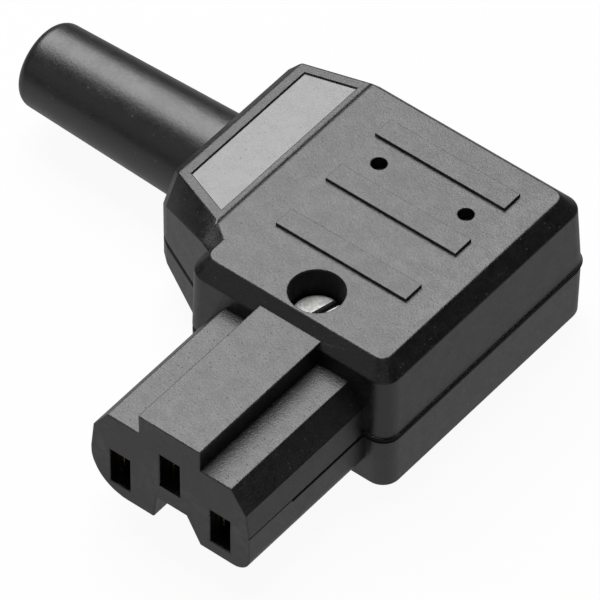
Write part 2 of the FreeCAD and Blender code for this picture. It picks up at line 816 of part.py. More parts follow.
# Contacts and terminals
def straight_tail():
    """Plan of a line or neutral tail: a strip straight back to its terminal plate."""
    half = "terminal_size / 2"
    front = f"terminal_y - {half}"
    back = f"terminal_y + {half}"
    return [
        ("0 - sleeve_half", "sleeve_back - contact_gauge"),
        ("sleeve_half", "sleeve_back - contact_gauge"),
        ("sleeve_half", front),
        (half, front),
        (half, back),
        (minus(half), back),
        (minus(half), front),
        ("0 - sleeve_half", front),
    ]


def cranked_tail():
    """Plan of the earth tail: a strip that steps round the housing screw and back to the middle."""
    half = "terminal_size / 2"
    front = f"earth_terminal_y - {half}"
    back = f"earth_terminal_y + {half}"
    return [
        ("0 - sleeve_half", "sleeve_back - contact_gauge"),
        ("sleeve_half", "sleeve_back - contact_gauge"),
        ("sleeve_half", "crank_front"),
        ("lane_outer", "crank_front"),
        ("lane_outer", "return_back"),
        ("sleeve_half", "return_back"),
        ("sleeve_half", front),
        (half, front),
        (half, back),
        (minus(half), back),
        (minus(half), front),
        ("0 - sleeve_half", front),
        ("0 - sleeve_half", "return_front"),
        ("lane_inner", "return_front"),
        ("lane_inner", "crank_back"),
        ("0 - sleeve_half", "crank_back"),
    ]


def channel_outline(inner_half, outer_half, low, inside_top, outside_top):
    """Section of a folded strip: two blades joined by a bridge above them."""
    return [
        (minus(outer_half), low),
        (minus(inner_half), low),
        (minus(inner_half), inside_top),
        (inner_half, inside_top),
        (inner_half, low),
        (outer_half, low),
        (outer_half, outside_top),
        (minus(outer_half), outside_top),
    ]


def make_terminal(name):
    """One pole: the folded contact, its spring, its wire clamp plate and its terminal screw."""
    middle_x, middle_z = CONTACTS[name]
    is_earth = name == "earth"
    middle_y = "earth_terminal_y" if is_earth else "terminal_y"
    blade_low = f"parting_z - ({middle_z})" if is_earth else "0 - blade_drop"
    contact = new_body(name + "_contact", (middle_x, "0", middle_z))
    sleeve = channel_outline("pin_thickness / 2", "sleeve_half", blade_low, "bridge_rise", "bridge_top")
    pad(contact, "Sleeve", XZ, "sleeve_front", "sleeve_back", [sleeve])
    tail = cranked_tail() if is_earth else straight_tail()
    pad(contact, "Tail", XY, "bridge_rise", "bridge_top", [tail])
    collar_low = "bridge_rise - collar_length"
    pad(contact, "Collar", XY, collar_low, "bridge_rise", circles=[("0", middle_y, "collar_diameter")])
    bore = "terminal_screw_diameter + 2 * thread_clearance"
    pocket(contact, "Thread", XY, collar_low, "bridge_top", circles=[("0", middle_y, bore)])

    spring = new_body(name + "_contact_spring", (middle_x, "0", middle_z))
    clip_top = "bridge_top + spring_gauge"
    clip = channel_outline("sleeve_half", "spring_half", "0 - spring_drop", "bridge_top", clip_top)
    spring_front = "sleeve_front + spring_setback"
    pad(spring, "Clip", XZ, spring_front, f"{spring_front} + spring_length", [clip])

    plate = new_body(name + "_clamp_plate", (middle_x, middle_y, f"{middle_z} + bridge_top"))
    half = "plate_size / 2"
    outline = box_outline(minus(half), half, minus(half), half)
    pad(plate, "Plate", XY, "0", "plate_thickness", [outline])
    pocket(plate, "Hole", XY, "0", "plate_thickness", circles=[("0", "0", bore)])

    sizes = (
        "terminal_screw_diameter",
        "terminal_screw_length",
        "terminal_head_diameter",
        "terminal_head_height",
        "terminal_slot_width",
        "terminal_slot_depth",
    )
    screw_place = (middle_x, middle_y, f"{middle_z} + bridge_top + plate_thickness")
    screw = make_screw(name + "_terminal_screw", screw_place, sizes)
    return [contact, spring, plate, screw]


# Cord clamp
def make_cord_clamp():
    """The arched saddle over the cord and the two screws that hold it on its posts."""
    clamp = new_body("cord_clamp", ("clamp_x", "guard_y", "parting_z"))
    start = "0 - clamp_width / 2"
    end = "clamp_width / 2"
    ears = box_outline("0 - clamp_ear_end", "clamp_ear_end", "0", "clamp_gauge")
    pad(clamp, "Ears", YZ, start, end, [ears])
    pad(clamp, "Arch", YZ, start, end, circles=[("0", "0", "clamp_arch + 2 * clamp_gauge")])
    pocket(clamp, "CordWay", YZ, start, end, circles=[("0", "0", "clamp_arch")])
    below = box_outline("0 - clamp_ear_end", "clamp_ear_end", "0 - clamp_arch", "0")
    pocket(clamp, "Underside", YZ, start, end, [below])
    holes = []
    for side in ("-1", "1"):
        holes.append(("0", f"{side} * clamp_screw_y", "clamp_screw_diameter + 2 * screw_hole_clearance"))
    pocket(clamp, "ScrewHoles", XY, "0", "clamp_gauge", circles=holes)
    sizes = (
        "clamp_screw_diameter",
        "clamp_screw_length",
        "clamp_head_diameter",
        "clamp_head_height",
        "terminal_slot_width",
        "terminal_slot_depth",
    )
    pieces = [clamp]
    for label, side in (("front_clamp_screw", "-1"), ("rear_clamp_screw", "1")):
        place = ("clamp_x", f"guard_y + {side} * clamp_screw_y", "parting_z + clamp_gauge")
        pieces.append(make_screw(label, place, sizes))
    return pieces


# Build, test and write every piece
pieces = [make_upper_housing(), make_lower_housing(), make_cord_guard()]
pieces += make_housing_fasteners()
for pole in CONTACTS:
    pieces += make_terminal(pole)
pieces += make_cord_clamp()
doc.recompute()

for item in doc.Objects:
    if "Invalid" in item.State or "Error" in item.State:
        raise RuntimeError(f"{item.Label} did not build: {item.State}")
for piece in pieces:
    if piece.Shape.isNull() or not piece.Shape.isValid() or len(piece.Shape.Solids) != 1:
        raise RuntimeError(f"{piece.Label} is not one valid solid")

os.makedirs("parts", exist_ok=True)
for piece in pieces:
    piece.Shape.exportStep(os.path.join("parts", piece.Label + ".step"))
    print(f"{piece.Label}: {piece.Shape.Volume:.1f} mm3")
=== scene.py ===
# %% [markdown]
# A right-angle mains connector, built round its measured frame. The frame holds every moulding, screw and
# contact at its true place, so this script adds what the eye needs: softened edges, cut threads, moulded
# grain, plated metal, a pale table and a soft light. All lengths are metres in the frame's own axes.

# %% Load the measured frame
import math

import bmesh
import bpy
import numpy as np
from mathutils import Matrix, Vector


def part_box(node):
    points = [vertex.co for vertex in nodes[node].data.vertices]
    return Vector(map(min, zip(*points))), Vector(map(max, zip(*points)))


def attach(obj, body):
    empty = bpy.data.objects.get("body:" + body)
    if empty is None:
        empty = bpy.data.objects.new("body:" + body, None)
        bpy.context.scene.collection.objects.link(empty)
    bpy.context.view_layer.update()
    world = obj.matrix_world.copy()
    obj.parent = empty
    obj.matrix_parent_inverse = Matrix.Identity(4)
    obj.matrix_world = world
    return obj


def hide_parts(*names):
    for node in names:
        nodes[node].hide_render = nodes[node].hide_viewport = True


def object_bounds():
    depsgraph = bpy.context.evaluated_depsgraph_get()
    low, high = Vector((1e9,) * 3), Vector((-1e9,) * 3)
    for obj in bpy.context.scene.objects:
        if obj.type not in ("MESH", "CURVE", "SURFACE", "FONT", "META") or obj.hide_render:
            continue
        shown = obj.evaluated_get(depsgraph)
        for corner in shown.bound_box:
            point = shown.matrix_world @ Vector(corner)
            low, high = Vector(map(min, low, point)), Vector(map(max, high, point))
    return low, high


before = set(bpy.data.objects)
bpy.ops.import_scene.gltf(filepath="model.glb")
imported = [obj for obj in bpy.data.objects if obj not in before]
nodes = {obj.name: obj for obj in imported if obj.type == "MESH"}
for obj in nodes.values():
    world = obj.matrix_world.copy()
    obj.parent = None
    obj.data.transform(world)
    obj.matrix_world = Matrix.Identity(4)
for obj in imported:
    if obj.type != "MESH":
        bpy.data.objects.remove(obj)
cad_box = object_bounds()
MM = 0.001
print("frame nodes:", len(nodes), "box:", [round(v, 4) for corner in cad_box for v in corner])

# %% [markdown]
# The camera looks down at the nose from the front right. Its two angles and its distance were worked out
# from edges of the object that run along the frame's axes. The lens is long, so parallel edges stay almost
# parallel, and it needs no shift because the aim point carries the framing.

# %% Camera
CAMERA_AZIMUTH = math.radians(38.95)
CAMERA_ELEVATION = math.radians(47.35)
CAMERA_DISTANCE = 1.01175
CAMERA_AIM = Vector((-7.0, 31.1, 1.07)) * MM
CAMERA_REACH = 20.0
FOCAL_PIXELS = 9174.4
PICTURE_PIXELS = 600
SENSOR_WIDTH_MM = 36.0
scene = bpy.context.scene


def direction(azimuth, elevation):
    """Unit vector from the object: azimuth turns from -Y towards +X, elevation rises towards +Z."""
    level = math.cos(elevation)
    return Vector((math.sin(azimuth) * level, -math.cos(azimuth) * level, math.sin(elevation)))


def aim(item, place, target):
    """Put a lamp or camera at a place and turn its -Z axis to the target, with +Y upwards."""
    item.location = place
    item.rotation_euler = (target - place).to_track_quat("-Z", "Y").to_euler()


camera_data = bpy.data.cameras.new("photo_camera")
camera_data.sensor_width = SENSOR_WIDTH_MM
camera_data.lens = FOCAL_PIXELS / PICTURE_PIXELS * SENSOR_WIDTH_MM
camera_data.clip_end = CAMERA_REACH
camera = bpy.data.objects.new("photo_camera", camera_data)
scene.collection.objects.link(camera)
aim(camera, CAMERA_AIM + CAMERA_DISTANCE * direction(CAMERA_AZIMUTH, CAMERA_ELEVATION), CAMERA_AIM)
scene.camera = camera
scene.view_settings.view_transform = "Standard"
print("lens:", round(camera_data.lens, 1), "mm")

# %% [markdown]
# Node trees are easier to read when a small helper makes each node, sets its plain sockets and links the
# others. A value that is another node's socket becomes a link, anything else is written on the socket.

# %% Node helpers


def add_node(tree, kind, inputs=None, **settings):
    """Make one node, set its properties, then fill or link its inputs by name or number."""
    node = tree.nodes.new(kind)
    for name, setting in settings.items():
        setattr(node, name, setting)
    for name, content in (inputs or {}).items():
        if isinstance(content, bpy.types.NodeSocket):
            tree.links.new(content, node.inputs[name])
        else:
            node.inputs[name].default_value = content
    return node


def calculate(tree, operation, first, second=0.0):
    """One step of arithmetic on sockets or numbers, as a socket."""
    return add_node(tree, "ShaderNodeMath", {0: first, 1: second}, operation=operation).outputs[0]


def times(tree, first, second):
    """The product of two sockets or numbers, as a socket."""
    return calculate(tree, "MULTIPLY", first, second)


def spread(tree, number, low, high, out_low=0.0, out_high=1.0):
    """Carry a number from one range to another with soft ends, as a socket."""
    step = add_node(
        tree,
        "ShaderNodeMapRange",
        {"Value": number, "From Min": low, "From Max": high, "To Min": out_low, "To Max": out_high},
        interpolation_type="SMOOTHSTEP",
    )
    return step.outputs[0]


def distance(tree, place, point):
    """How far a place lies from a point, as a socket."""
    step = add_node(tree, "ShaderNodeVectorMath", {0: place, 1: point}, operation="DISTANCE")
    return step.outputs["Value"]


def grey(level):
    """A neutral colour."""
    return (level, level, level, 1.0)


# %% Material helpers


def new_material(name):
    """An empty node material, its tree and its output node."""
    material = bpy.data.materials.new(name)
    material.use_nodes = True
    material.node_tree.nodes.clear()
    output = material.node_tree.nodes.new("ShaderNodeOutputMaterial")
    return material, material.node_tree, output


def object_place(tree):
    """The point of the surface in the frame's own axes, as a socket."""
    return add_node(tree, "ShaderNodeTexCoord").outputs["Object"]


def dress(item, material):
    """Give an object one material."""
    item.data.materials.clear()
    item.data.materials.append(material)


# %% [markdown]
# The connector lies on a pale table. The table answers the camera with almost white, so the picture's
# ground is white, and a share of plain matt white in that answer keeps a faint shadow under the object.
# Mirror rays see a painted reflection there: the table glows round the object and fades outwards, as a
# table does at the rim of a studio lamp.

# %% Table
TABLE_HALF = 3.0
TABLE_WHITE = grey(0.86)
TABLE_CAMERA_SHARE = 0.94
PATCH_NEAR = 0.05
PATCH_FAR = 0.17
PATCH_GLOW = 0.46
PATCH_RIM_GLOW = 0.05

table_z = cad_box[0][2]
side = np.linspace(-TABLE_HALF, TABLE_HALF, 2)
grid_x, grid_y = np.meshgrid(side, side)
corners = np.stack([grid_x.ravel(), grid_y.ravel(), np.full(4, table_z)], axis=1)
table_mesh = bpy.data.meshes.new("table")
table_mesh.from_pydata(corners.tolist(), [], [(0, 1, 3, 2)])
table = bpy.data.objects.new("table", table_mesh)
scene.collection.objects.link(table)
print("table at z =", round(table_z, 4))

# %% Table paint
table_paint, tree, output = new_material("table_paint")
matt = add_node(tree, "ShaderNodeBsdfDiffuse", {"Color": TABLE_WHITE})
path = add_node(tree, "ShaderNodeLightPath")
seen = path.outputs["Is Camera Ray"]
mirrored = calculate(tree, "MAXIMUM", path.outputs["Is Glossy Ray"], path.outputs["Is Transmission Ray"])
reach = distance(tree, object_place(tree), tuple(CAMERA_AIM))
# painted reflection: a glow round the object that only mirror rays see, fading outwards
patch = spread(tree, reach, PATCH_NEAR, PATCH_FAR, PATCH_GLOW, PATCH_RIM_GLOW)
strength = calculate(tree, "MAXIMUM", seen, patch)
glow = add_node(tree, "ShaderNodeEmission", {"Color": grey(1.0), "Strength": strength})
share = calculate(tree, "MAXIMUM", times(tree, seen, TABLE_CAMERA_SHARE), mirrored)
mixed = add_node(tree, "ShaderNodeMixShader", {0: share, 1: matt.outputs[0], 2: glow.outputs[0]})
tree.links.new(mixed.outputs[0], output.inputs["Surface"])
dress(table, table_paint)
print("table paint nodes:", len(tree.nodes))

# %% [markdown]
# One large soft box hangs behind the object, to the left and high, where the top faces mirror it into the
# camera. Black moulded plastic shows its grey only through that sheen. A small box almost straight above
# shines into the screw hole. A dim card at the front left gives the front bevel and the sleeve their dark
# grey, and one at the front right draws the tops for a viewer who stands behind. The room is darker still,
# so faces that mirror no lamp, card or table go nearly black.

# %% Light
LAMP_DISTANCE = 0.80
BOX_DIRECTION = Vector((-0.45, 0.31, 0.85)).normalized()
BOX_WIDTH = 0.70
BOX_LENGTH = 0.78
BOX_POWER = 7.5
TOP_BOX_DIRECTION = Vector((-0.08, 0.10, 1.0)).normalized()
TOP_BOX_SIZE = 0.14
TOP_BOX_POWER = 1.1
CARD_SIZE = 0.5
LEFT_CARD_DIRECTION = Vector((-0.45, -0.78, 0.43)).normalized()
LEFT_CARD_POWER = 0.23
RIGHT_CARD_DIRECTION = Vector((0.62, -0.70, 0.36)).normalized()
RIGHT_CARD_POWER = 0.30


def add_soft_box(name, towards, width, length, power):
    """A rectangular area lamp in one direction from the object, facing it."""
    data = bpy.data.lights.new(name, "AREA")
    data.shape = "RECTANGLE"
    data.size = width
    data.size_y = length
    data.energy = power
    lamp = bpy.data.objects.new(name, data)
    scene.collection.objects.link(lamp)
    aim(lamp, CAMERA_AIM + LAMP_DISTANCE * towards, CAMERA_AIM)


add_soft_box("soft_box", BOX_DIRECTION, BOX_WIDTH, BOX_LENGTH, BOX_POWER)
add_soft_box("top_box", TOP_BOX_DIRECTION, TOP_BOX_SIZE, TOP_BOX_SIZE, TOP_BOX_POWER)
add_soft_box("left_card", LEFT_CARD_DIRECTION, CARD_SIZE, CARD_SIZE, LEFT_CARD_POWER)
add_soft_box("right_card", RIGHT_CARD_DIRECTION, CARD_SIZE, CARD_SIZE, RIGHT_CARD_POWER)
print("soft boxes:", BOX_POWER, TOP_BOX_POWER, "W, cards:", LEFT_CARD_POWER, RIGHT_CARD_POWER, "W")

# %% Room
ROOM_LIGHT = 0.045

room_world = bpy.data.worlds.new("room")
scene.world = room_world
room_world.use_nodes = True
tree = room_world.node_tree
tree.nodes.clear()
room = add_node(tree, "ShaderNodeBackground", {"Color": grey(1.0), "Strength": ROOM_LIGHT})
white = add_node(tree, "ShaderNodeBackground", {"Color": grey(1.0), "Strength": 1.0})
seen = add_node(tree, "ShaderNodeLightPath").outputs["Is Camera Ray"]
ground = add_node(tree, "ShaderNodeMixShader", {0: seen, 1: room.outputs[0], 2: white.outputs[0]})
add_node(tree, "ShaderNodeOutputWorld", {"Surface": ground.outputs[0]})
print("room light:", ROOM_LIGHT)

# %% [markdown]
# Three surface effects are node groups, so that any material can take them with its own values. Moulded
# grain is the fine matt skin that a spark-eroded mould leaves. Specks are the pale dust and dark pits that a
# magnifier finds on any used plastic. Rubbed edges brighten where the surface turns sharply outwards,
# partly as wear and partly as a painted highlight along the edges.

# %% Group helpers
VALUE = "NodeSocketFloat"
VECTOR = "NodeSocketVector"


def new_group(name, inputs, outputs):
    """A shader node group with named inputs (name, kind, start value) and outputs (name, kind)."""
    tree = bpy.data.node_groups.new(name, "ShaderNodeTree")
    for label, kind, start in inputs:
        socket = tree.interface.new_socket(label, in_out="INPUT", socket_type=kind)
        if start is not None:
            socket.default_value = start
    for label, kind in outputs:
        tree.interface.new_socket(label, in_out="OUTPUT", socket_type=kind)
    return tree, tree.nodes.new("NodeGroupInput"), tree.nodes.new("NodeGroupOutput")


def place_group(tree, group, inputs):
    """Put a node group into a tree and fill its inputs."""
    return add_node(tree, "ShaderNodeGroup", inputs, node_tree=group)


def plus(tree, first, second):
    """The sum of two sockets or numbers, as a socket."""
    return calculate(tree, "ADD", first, second)


# %% Moulded grain
CLOUD_FINENESS = 0.16
PEBBLE_SPAN = (0.3, 0.7)
TONE_SPAN = (0.7, 1.3)

grain_group, start, end = new_group(
    "moulded_grain",
    [("Vector", VECTOR, None), ("Fineness", VALUE, 5000.0)],
    [("Height", VALUE), ("Tone", VALUE)],
)
fine = start.outputs["Fineness"]
coarse = times(grain_group, fine, CLOUD_FINENESS)
pebbles = add_node(
    grain_group,
    "ShaderNodeTexNoise",
    {"Vector": start.outputs["Vector"], "Scale": fine, "Detail": 3.0, "Roughness": 0.6},
)
clouds = add_node(
    grain_group,
    "ShaderNodeTexNoise",
    {"Vector": start.outputs["Vector"], "Scale": coarse, "Detail": 4.0, "Roughness": 0.65},
)
grain_group.links.new(spread(grain_group, pebbles.outputs[0], *PEBBLE_SPAN), end.inputs["Height"])
both = plus(grain_group, pebbles.outputs[0], clouds.outputs[0])
grain_group.links.new(spread(grain_group, both, *TONE_SPAN), end.inputs["Tone"])
print("grain nodes:", len(grain_group.nodes))

# %% Specks
SPECK_RARITY = 0.62

speck_group, start, end = new_group(
    "specks",
    [("Vector", VECTOR, None), ("Spacing", VALUE, 900.0), ("Size", VALUE, 0.07)],
    [("Dust", VALUE), ("Pits", VALUE)],
)
cells = add_node(
    speck_group,
    "ShaderNodeTexVoronoi",
    {"Vector": start.outputs["Vector"], "Scale": start.outputs["Spacing"], "Randomness": 1.0},
)
lot = add_node(speck_group, "ShaderNodeSeparateColor", {0: cells.outputs["Color"]})
near = calculate(speck_group, "LESS_THAN", cells.outputs["Distance"], start.outputs["Size"])
near = times(speck_group, near, lot.outputs[2])
for label, channel in (("Dust", 0), ("Pits", 1)):
    drawn = calculate(speck_group, "GREATER_THAN", lot.outputs[channel], SPECK_RARITY)
    speck_group.links.new(times(speck_group, near, drawn), end.inputs[label])
print("speck nodes:", len(speck_group.nodes))

# %% Rubbed edges and painted edge highlight
SHARP_SPAN = (0.515, 0.60)
GAP_SPAN = (0.35, 0.65)

rub_and_highlight_group, start, end = new_group(
    "rubbed_edges_and_highlight",
    [("Vector", VECTOR, None), ("Breaks", VALUE, 700.0)],
    [("Mask", VALUE)],
)
shape = add_node(rub_and_highlight_group, "ShaderNodeNewGeometry")
sharp = spread(rub_and_highlight_group, shape.outputs["Pointiness"], *SHARP_SPAN)
gaps = add_node(
    rub_and_highlight_group,
    "ShaderNodeTexNoise",
    {"Vector": start.outputs["Vector"], "Scale": start.outputs["Breaks"], "Detail": 3.0},
)
kept = spread(rub_and_highlight_group, gaps.outputs[0], *GAP_SPAN)
rub_and_highlight_group.links.new(times(rub_and_highlight_group, sharp, kept), end.inputs["Mask"])
print("rubbed edge nodes:", len(rub_and_highlight_group.nodes))

# %% [markdown]
# A finish or an edge often depends on where it is on the object. A mask answers that with 1 or 0. Simple
# questions, such as above or below a height, are joined into longer ones, and the same helpers serve
# shaders and geometry nodes because both use the same arithmetic nodes.

# %% Masks


def above(tree, number, low):
    """1 where a number is more than a bound, as a socket."""
    return calculate(tree, "GREATER_THAN", number, low)


def below(tree, number, high):
    """1 where a number is less than a bound, as a socket."""
    return calculate(tree, "LESS_THAN", number, high)


def every(tree, *masks):
    """1 where all the masks are 1, as a socket."""
    joined = masks[0]
    for mask in masks[1:]:
        joined = times(tree, joined, mask)
    return joined


def either(tree, *masks):
    """1 where any of the masks is 1, as a socket."""
    joined = masks[0]
    for mask in masks[1:]:
        joined = calculate(tree, "MAXIMUM", joined, mask)
    return joined


def unless(tree, mask):
    """1 where the mask is 0, as a socket."""
    return calculate(tree, "SUBTRACT", 1.0, mask)


def between(tree, number, low, high):
    """1 where a number lies between two bounds, as a socket."""
    return every(tree, above(tree, number, low), below(tree, number, high))


def coordinates(tree, place):
    """The x, y and z of a place, as three sockets."""
    return add_node(tree, "ShaderNodeSeparateXYZ", {0: place}).outputs


# %% [markdown]
# The housing is a black thermoset with a matt spark-eroded skin. Its colour hardly changes, so the picture
# is made by roughness and by the grain's tiny slopes. The marking panel was left smoother in the mould and
# has a thin gloss coat, so it shines more. Four planes in the frame's axes fence it in, because the panel
# narrows towards the cord.

# %% Places on the housing
PANEL_FENCES_MM = (
    ((1.0, 0.0, 0.0), -22.2),
    ((-1.0, 0.0, 0.0), 15.95),
    ((0.4186, 1.0, 0.0), 21.75),
    ((0.2012, -1.0, 0.0), -55.32),
)
PANEL_FLOOR = 10.4 * MM
SHADE_BAND = (1.0 * MM, 1.88 * MM)
SHADE_START = 18.5 * MM
SCREW_AXIS = (0.0, 25.4 * MM, 0.0)
SCREW_HOLE = 3.3 * MM
SCREW_HOLE_TOP = 11.9 * MM


def inside_fences(tree, place, margin=0.0):
    """1 inside every fence plane of the marking panel, in plan, with the planes moved out by a margin."""
    steps = []
    for normal, offset in PANEL_FENCES_MM:
        reach = add_node(tree, "ShaderNodeVectorMath", {0: place, 1: normal}, operation="DOT_PRODUCT")
        steps.append(above(tree, reach.outputs["Value"], offset * MM - margin))
    return every(tree, *steps)


def panel_mask(tree, place):
    """1 on the marking panel: inside every fence plane and above its floor."""
    z = coordinates(tree, place)[2]
    return every(tree, above(tree, z, PANEL_FLOOR), inside_fences(tree, place))


def painted_shade_mask(tree, place):
    """1 where shade is painted: in the joint between the halves and on the wall of the screw hole."""
    x, y, z = coordinates(tree, place)
    joint = every(tree, between(tree, z, *SHADE_BAND), above(tree, y, SHADE_START))
    plan = add_node(tree, "ShaderNodeCombineXYZ", {0: x, 1: y}).outputs[0]
    in_hole = below(tree, distance(tree, plan, SCREW_AXIS), SCREW_HOLE)
    return either(tree, joint, every(tree, in_hole, below(tree, z, SCREW_HOLE_TOP)))


# %% Housing plastic
PLASTIC_BLACK = grey(0.0004)
PLASTIC_GREY = (0.0080, 0.0080, 0.0083, 1.0)
PLASTIC_RUBBED_HIGHLIGHT = grey(0.060)
RUBBED_HIGHLIGHT_SHARE = 0.5
DUST_GREY = (0.20, 0.20, 0.195, 1.0)
PLASTIC_DUST = 0.4
PAINTED_SHADE_BLACK = grey(0.0004)
PLASTIC_MATT = (0.36, 0.44)
PANEL_SMOOTHER = 0.16
PANEL_GRAIN = 0.25
PANEL_COAT = 0.65
SHADE_ROUGHER = 0.5
PIT_ROUGHER = 0.3
GRAIN_DEPTH = 0.03 * MM


def blend_colours(tree, share, first, second):
    """Mix two colours by a share between 0 and 1, as a socket."""
    step = add_node(tree, "ShaderNodeMix", {0: share, 6: first, 7: second}, data_type="RGBA")
    return step.outputs[2]


def add_skin(tree, output, inputs):
    """End a material in a Principled shader with these inputs."""
    skin = add_node(tree, "ShaderNodeBsdfPrincipled", inputs)
    tree.links.new(skin.outputs[0], output.inputs["Surface"])


housing_plastic, tree, output = new_material("housing_plastic")
place = object_place(tree)
panel = panel_mask(tree, place)
shade = painted_shade_mask(tree, place)
grain = place_group(tree, grain_group, {"Vector": place, "Fineness": 3900.0})
specks = place_group(tree, speck_group, {"Vector": place, "Spacing": 2100.0, "Size": 0.17})
rub_and_highlight = place_group(tree, rub_and_highlight_group, {"Vector": place, "Breaks": 900.0})
colour = blend_colours(tree, grain.outputs["Tone"], PLASTIC_BLACK, PLASTIC_GREY)
# partly wear, partly a painted highlight: sharp outward edges are coloured lighter
colour = blend_colours(tree, times(tree, rub_and_highlight.outputs["Mask"], RUBBED_HIGHLIGHT_SHARE), colour, PLASTIC_RUBBED_HIGHLIGHT)
colour = blend_colours(tree, times(tree, specks.outputs["Dust"], PLASTIC_DUST), colour, DUST_GREY)
# painted shade: the joint between the halves and the wall of the screw hole are coloured black
colour = blend_colours(tree, shade, colour, PAINTED_SHADE_BLACK)
matt_level = spread(tree, grain.outputs["Tone"], 0.0, 1.0, *PLASTIC_MATT)
matt_level = calculate(tree, "SUBTRACT", matt_level, times(tree, panel, PANEL_SMOOTHER))
matt_level = plus(tree, matt_level, times(tree, shade, SHADE_ROUGHER))
matt_level = plus(tree, matt_level, times(tree, specks.outputs["Pits"], PIT_ROUGHER))
height = calculate(tree, "SUBTRACT", grain.outputs["Height"], specks.outputs["Pits"])
height = times(tree, height, spread(tree, panel, 0.0, 1.0, 1.0, PANEL_GRAIN))
bump = add_node(tree, "ShaderNodeBump", {"Height": height, "Strength": 0.40, "Distance": GRAIN_DEPTH})
add_skin(
    tree,
    output,
    {
        "Base Color": colour,
        "Roughness": matt_level,
        "Normal": bump.outputs[0],
        "Specular IOR Level": 0.95,
        "Coat Weight": times(tree, panel, PANEL_COAT),
        "Coat Roughness": 0.25,
    },
)
print("housing plastic nodes:", len(tree.nodes))

# %% [markdown]
# The two halves come from the frame as sharp solids made of loose triangles. Real mouldings have no razor
# edges, and the soft edge is what draws the ribs, the panel's frame and the parting line. A bevel could
# round all edges alike, but a geometry node group can say how much each one gets. Hollow corners and the
# uprights of the ribs stay crisp, rib tops are rounded less, and the rims of the neck, which the hand meets,
# more. The tight joint across the nose's front and the hidden mouth of the earth passage stay square.

# %% Edge places
EDGE_WEIGHT = "bevel_weight_edge"
EDGE_LIMIT = math.radians(28.0)
RIB_RIM_FLOOR = 12.45 * MM
RIB_CORNER_BAND = (12.25 * MM, 12.35 * MM)
CREASE_BAND = (-15.3 * MM, -14.7 * MM)
CREASE_FLOOR = 11.8 * MM
NECK_START = -15.6 * MM
NECK_END = -23.0 * MM
NECK_TOP = 7.0 * MM
NECK_BOTTOM = -4.0 * MM
PANEL_MARGIN = 0.65 * MM
GUARD_MIDDLE = (0.0, 41.2 * MM, 1.5 * MM)
GUARD_ROOM = 7.0 * MM
JOINT_BAND = (1.0 * MM, 2.0 * MM)
LIP_START = 19.0 * MM
LIP_TOP_BAND = (1.8 * MM, 2.0 * MM)
LIP_FOOT_BAND = (1.4 * MM, 1.6 * MM)
GROOVE_BAND = (1.0 * MM, 1.3 * MM)
NOSE_JOINT_BAND = (1.2 * MM, 1.8 * MM)
NOSE_FRONT = 0.4 * MM
PASSAGE_BANDS_MM = ((-2.5, 2.5), (14.5, 17.0), (3.5, 7.5))
EDGE_SHARES = {
    "rib_rims": 0.5,
    "rib_corners": 0.0,
    "crease": 1.4,
    "neck_rims": 1.3,
    "lip_top": 1.3,
    "lip_foot": 1.2,
    "groove_rim": 2.0,
    "nose_joint": 0.0,
    "passage_mouth": 0.0,
}


def neck_rims(tree, place):
    """1 on the neck's outer rims: past its start, at its top, bottom or end, and clear of the marking
    panel, of the guard's mouth and of the joint between the halves."""
    x, y, z = coordinates(tree, place)
    across = add_node(tree, "ShaderNodeCombineXYZ", {1: y, 2: z}).outputs[0]
    return every(
        tree,
        below(tree, x, NECK_START),
        unless(tree, inside_fences(tree, place, PANEL_MARGIN)),
        either(tree, above(tree, z, NECK_TOP), below(tree, z, NECK_BOTTOM), below(tree, x, NECK_END)),
        above(tree, distance(tree, across, GUARD_MIDDLE), GUARD_ROOM),
        unless(tree, between(tree, z, *JOINT_BAND)),
    )


def edge_masks(tree, place):
    """The places where edges are rounded more or less than plain ones, by name."""
    x, y, z = coordinates(tree, place)
    on_block = above(tree, y, LIP_START)
    passage = [
        between(tree, along, low * MM, high * MM) for along, (low, high) in zip((x, y, z), PASSAGE_BANDS_MM)
    ]
    return {
        "rib_rims": above(tree, z, RIB_RIM_FLOOR),
        "rib_corners": between(tree, z, *RIB_CORNER_BAND),
        "crease": every(tree, between(tree, x, *CREASE_BAND), above(tree, z, CREASE_FLOOR)),
        "neck_rims": neck_rims(tree, place),
        "lip_top": every(tree, between(tree, z, *LIP_TOP_BAND), on_block),
        "lip_foot": every(tree, between(tree, z, *LIP_FOOT_BAND), on_block),
        "groove_rim": every(tree, between(tree, z, *GROOVE_BAND), on_block),
        "nose_joint": every(tree, between(tree, z, *NOSE_JOINT_BAND), below(tree, y, NOSE_FRONT)),
        "passage_mouth": every(tree, *passage),
    }


# %% Edge weights


def new_edge_group(name):
    """A geometry node group with one input and one output, and a node that reads the angle at each edge."""
    tree = bpy.data.node_groups.new(name, "GeometryNodeTree")
    for way in ("INPUT", "OUTPUT"):
        tree.interface.new_socket("Geometry", in_out=way, socket_type="NodeSocketGeometry")
    start = tree.nodes.new("NodeGroupInput")
    end = tree.nodes.new("NodeGroupOutput")
    return tree, start, end, add_node(tree, "GeometryNodeInputMeshEdgeAngle")


